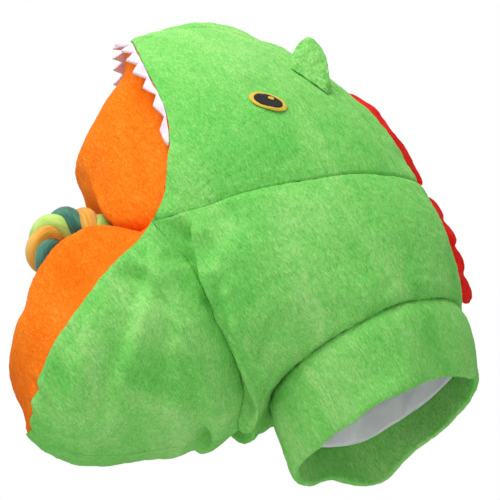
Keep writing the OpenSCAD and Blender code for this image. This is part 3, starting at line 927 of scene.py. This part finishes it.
def makeInside():
    for name, (node, follow) in stuffings.items():
        piece = copyNodes(name, [node])
        applyModifier(piece, "REMESH", mode="VOXEL", voxel_size=0.005)
        shrink(piece, 0.0026)
        ruffle(piece, 0.0008, 0.012)
        for cover, (_, up, _, _) in palates.items():
            if cover == "palateUpper" and name in ("headStuffing", "upperPalateStuffing") \
                    or cover == "palateLower" and name in ("chinStuffing", "lowerPalateStuffing"):
                sinkUnder(piece, mouth[cover], up, 0.004)
        dress(piece, wadding)
        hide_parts(node)
        follow(piece)
    for name, (node, follow) in pockets.items():
        piece = copyNodes(name, [node])
        applyModifier(piece, "SUBSURF", subdivision_type="SIMPLE", levels=1, render_levels=1)
        ruffle(piece, 0.0005, 0.015)
        dress(piece, whiteSatin)
        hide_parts(node)
        follow(piece)


def shrink(piece, depth):
    normals = [v.normal.copy() for v in piece.data.vertices]
    for vertex, normal in zip(piece.data.vertices, normals):
        vertex.co -= normal * depth


# ---- teeth, eyes, ears, crest ----
def seatOn(piece, before, after, asOne=False):
    moves = []
    for vertex in piece.data.vertices:
        tree = min(before, key=lambda surface: surface.find_nearest(vertex.co)[3])
        place, normal, _, _ = tree.find_nearest(vertex.co)
        away = (place - crease).normalized()
        if normal.dot(away) < 0:
            normal = -normal
        best = Vector((0, 0, 0))
        for surface in after:
            hit = surface.ray_cast(place + normal * 0.015, -normal, 0.03)[0]
            if hit is not None and (best.length == 0 or (hit - place).dot(normal) > best.dot(normal)):
                best = hit - place
        moves.append(best)
    if asOne:
        mean = sum(moves, Vector((0, 0, 0))) / len(moves)
        moves = [mean] * len(moves)
    for vertex, move in zip(piece.data.vertices, moves):
        vertex.co += move


def growAbout(piece, share):
    middle = sum((vertex.co for vertex in piece.data.vertices), Vector((0, 0, 0))) / len(piece.data.vertices)
    for vertex in piece.data.vertices:
        vertex.co = middle + (vertex.co - middle) * share


# The tooth strip is sewn into the upper lip
def moveToLip(teeth, up, gap=0.0012, reach=0.006):
    flatTree = treeOf([place - up * (place - crease).dot(up) for place in upperLip])
    ways = []
    for vertex in teeth.data.vertices:
        flat = vertex.co - up * (vertex.co - crease).dot(up)
        way = flatTree.find(flat)[0] - flat
        ways.append(way * max(0, 1 - gap / max(way.length, 0.0001)))
    own = treeOf([vertex.co.copy() for vertex in teeth.data.vertices])
    moves = []
    for vertex in teeth.data.vertices:
        near = own.find_range(vertex.co, reach)
        moves.append(sum((ways[index] for _, index, _ in near), Vector()) / len(near))
    for vertex, move in zip(teeth.data.vertices, moves):
        vertex.co += move


def makeTrim(before, after):
    for side in ("left", "right"):
        capital = side.capitalize()
        teeth = copyNodes("teeth" + capital, ["teeth_" + side])
        applyModifier(teeth, "SUBSURF", subdivision_type="SIMPLE", levels=2, render_levels=2)
        moveToLip(teeth, palates["palateUpper"][1])
        for vertex in teeth.data.vertices:
            vertex.co += hang(vertex.co)
        ruffle(teeth, 0.0007, 0.008, 0.0002, 0.0015)
        dress(teeth, whiteFelt)
        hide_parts("teeth_" + side)
        followHead(teeth)
        for part, material, slotName in (("ring", yellowThread, "yellow_thread"),
                                         ("pupil", blackThread, "black_thread"),
                                         ("glint", yellowThread, "yellow_thread")):
            node = f"eye_{part}_{side}"
            piece = copyNodes("eye" + part.capitalize() + capital, [node])
            applyModifier(piece, "SUBSURF", levels=2, render_levels=2)
            seatOn(piece, before, after)
            growAbout(piece, 1.28 if part == "pupil" else 1.1)
            if part != "ring":
                for vertex in piece.data.vertices:
                    vertex.co.x += (0.0006 if side == "left" else -0.0006)
            dress(piece, material)
            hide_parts(node)
            followHead(piece)
        for face in ("front", "back"):
            node = f"ear_{face}_{side}"
            ear = copyNodes("ear" + face.capitalize() + capital, [node])
            seatOn(ear, before, after, asOne=True)
            subdivide(ear, 3)
            ruffle(ear, 0.0007, 0.006, 0.0003, 0.0022)
            dress(ear, greenPlush)
            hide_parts(node)
            followHead(ear)
    for name, node, follow in (("crestHead", "crest_head", followHead), ("crestNeck", "crest_neck", followHead)):
        crest = copyNodes(name, [node])
        seatOn(crest, before, after)
        for vertex in crest.data.vertices:      # its raw edge is sewn into the plush
            vertex.co += (neckMiddle - vertex.co).normalized() * 0.0005
        subdivide(crest, 2)
        ruffle(crest, 0.0015, 0.012, 0.0003, 0.002)
        dress(crest, redFleece)
        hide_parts(node)
        follow(crest)


def makeStitching():
    stitches = copyNodes("ropeStitching", ["rope_stitching"])
    applyModifier(stitches, "BEVEL", width=0.0006, segments=2)
    dress(stitches, blackThread)
    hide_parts("rope_stitching")
    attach(stitches, "sleeve")


placeCamera()
placeLights()
makeFloor()
makeRope()
made, before = makePanels()
cuff = makeCuff([made["neckLeft"], made["neckRight"]])
lining = makeLining()
mouth = makePalates(made)
print("sheets cut")
puffUp(list(made.values()), skinLook["pressure"], skinLook["cap"], skinLook["slack"])
puffUp([cuff], cuffLook["pressure"], cuffLook["cap"], cuffLook["slack"])
puffUp([lining], liningLook["pressure"], liningLook["cap"], liningLook["slack"], 0.05, axis=liningLook["axis"])
puffUp(list(mouth.values()), palateLook["pressure"], palateLook["cap"], palateLook["slack"],
       slope=palateLook["puffSlope"])
print("sheets puffed")
for piece in [*made.values(), cuff, *mouth.values()]:
    foldCloth(piece)
shrinkLining(lining)
foldCloth(lining, seams=False, spread=2.0)
print("folds pressed")
after = []
for name, (node, middle, follow) in panels.items():
    finishSheet(made[name], greenPlush, skinLook["thickness"])
    after.append(BVHTree.FromObject(made[name], bpy.context.evaluated_depsgraph_get()))
    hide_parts(node)
    follow(made[name])
finishSheet(cuff, greenPlush, skinLook["thickness"])
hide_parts("cuff_band", "cuff_facing")
followHead(cuff)
keepInside(lining, after + [BVHTree.FromObject(cuff, bpy.context.evaluated_depsgraph_get())])
finishSheet(lining, whiteSatin, liningLook["thickness"], (0.0003, 0.01))
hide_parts("sleeve_lining")
followHead(lining)
for name, (node, up, lips, follow) in palates.items():
    finishSheet(mouth[name], orangePlush, palateLook["thickness"])
    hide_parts(node)
    follow(mouth[name])
makeCreaseFold()
makeInside()
makeTrim(before, after)
makeStitching()
print("all pieces made")
